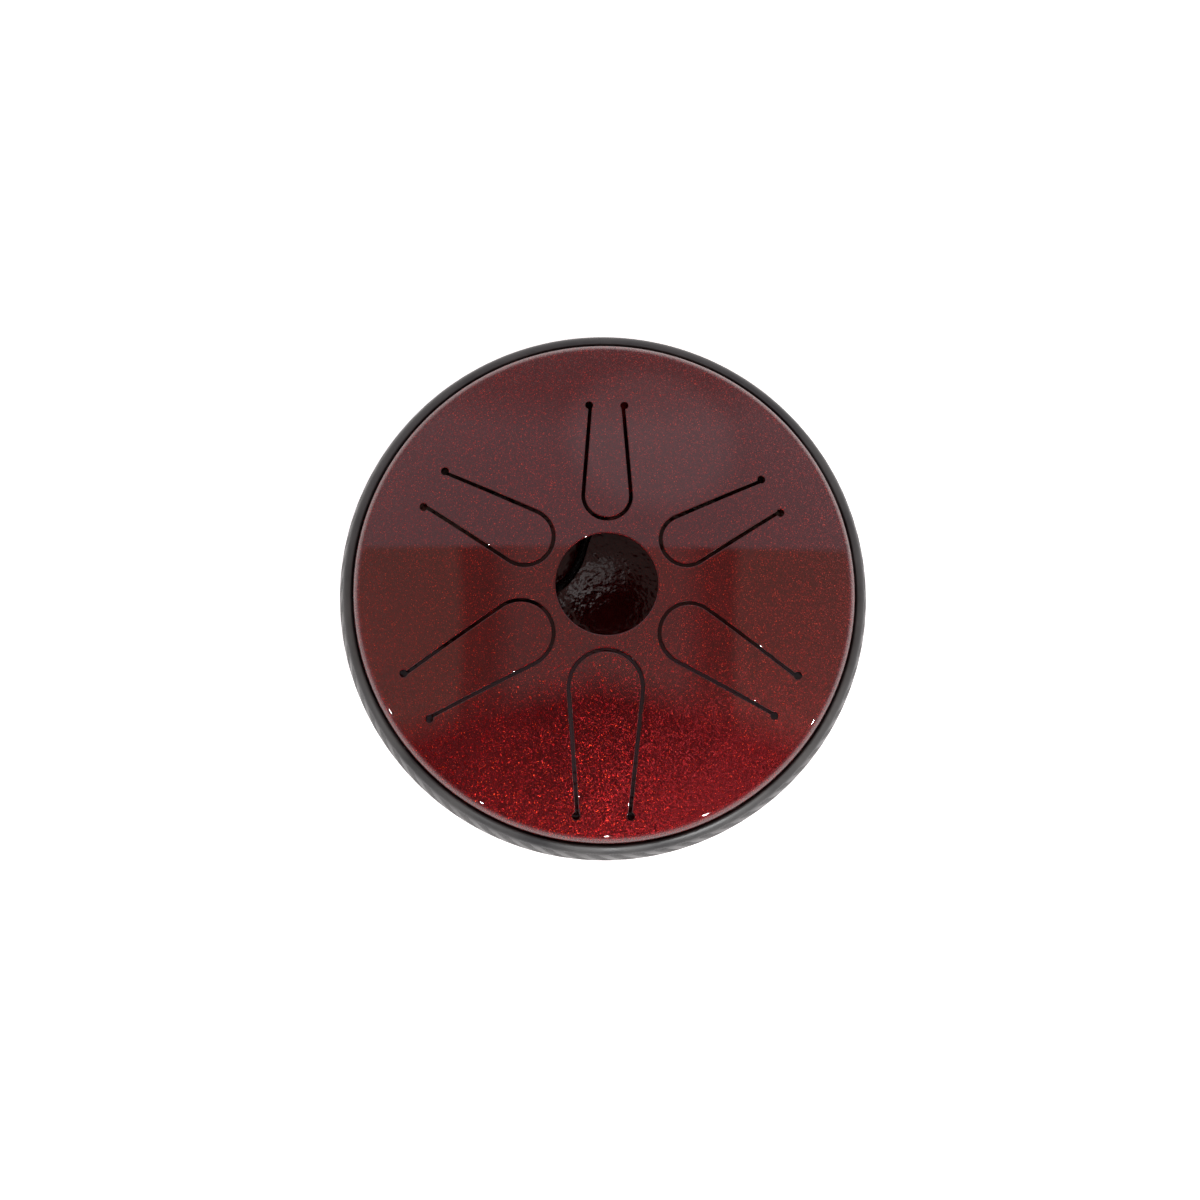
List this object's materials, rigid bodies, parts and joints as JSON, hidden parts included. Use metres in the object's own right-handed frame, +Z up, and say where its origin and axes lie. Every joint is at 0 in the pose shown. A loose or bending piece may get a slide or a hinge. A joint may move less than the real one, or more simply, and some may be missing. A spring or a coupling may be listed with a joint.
{
  "type": "steel tongue drum",
  "caption": "Lacquered steel tongue drum: domed shell with slotted teardrop tongues round a sound hole, rubber rim, rubber feet and an internal contact pickup.",
  "frame": {"origin": "on the drum's axis at the height of the feet's soles", "axes": "+Z up along the drum's axis, +Y towards the shortest tongue, the longest tongue lies along -Y"},
  "size_m": [0.2136, 0.2136, 0.0915],
  "materials": {
    "shell_lacquer": "metal-flake lacquer under a thick gloss clear coat",
    "weld_steel": "as welded",
    "rim_rubber": "moulded tyre tread, semi-matt",
    "foot_rubber": "moulded, matt",
    "zinc_steel": "bright zinc plate",
    "nickel_plate": "bright nickel plate",
    "jack_plastic": "moulded",
    "jack_seal": "fibre-filled rubber",
    "adhesive_foam": "closed-cell foam tape",
    "brass": "rolled",
    "crystal_ceramic": "fired, silvered face",
    "potting_resin": "cast resin",
    "lead_jacket": "satin PVC jacket"
  },
  "bodies": {
    "root": {"top_shell": "shell_lacquer", "bottom_shell": "shell_lacquer", "seam_weld": "weld_steel", "rubber_rim": "rim_rubber", "foot_back_right": "foot_rubber", "foot_back_left": "foot_rubber", "foot_front_left": "foot_rubber", "foot_front_right": "foot_rubber", "foot_saddles": "foot_rubber", "foot_screws": "zinc_steel", "foot_nuts": "zinc_steel", "foot_recess_washers": "zinc_steel", "foot_inner_washers": "zinc_steel", "jack_sleeve": "nickel_plate", "jack_body": "jack_plastic", "jack_gasket": "jack_seal", "jack_washer": "jack_seal", "jack_nut": "nickel_plate", "jack_terminals": "zinc_steel", "pickup_pad": "adhesive_foam", "pickup_disc": "brass", "pickup_crystal": "crystal_ceramic", "pickup_cap": "potting_resin", "pickup_lead": "lead_jacket"}
  },
  "joints": []
}
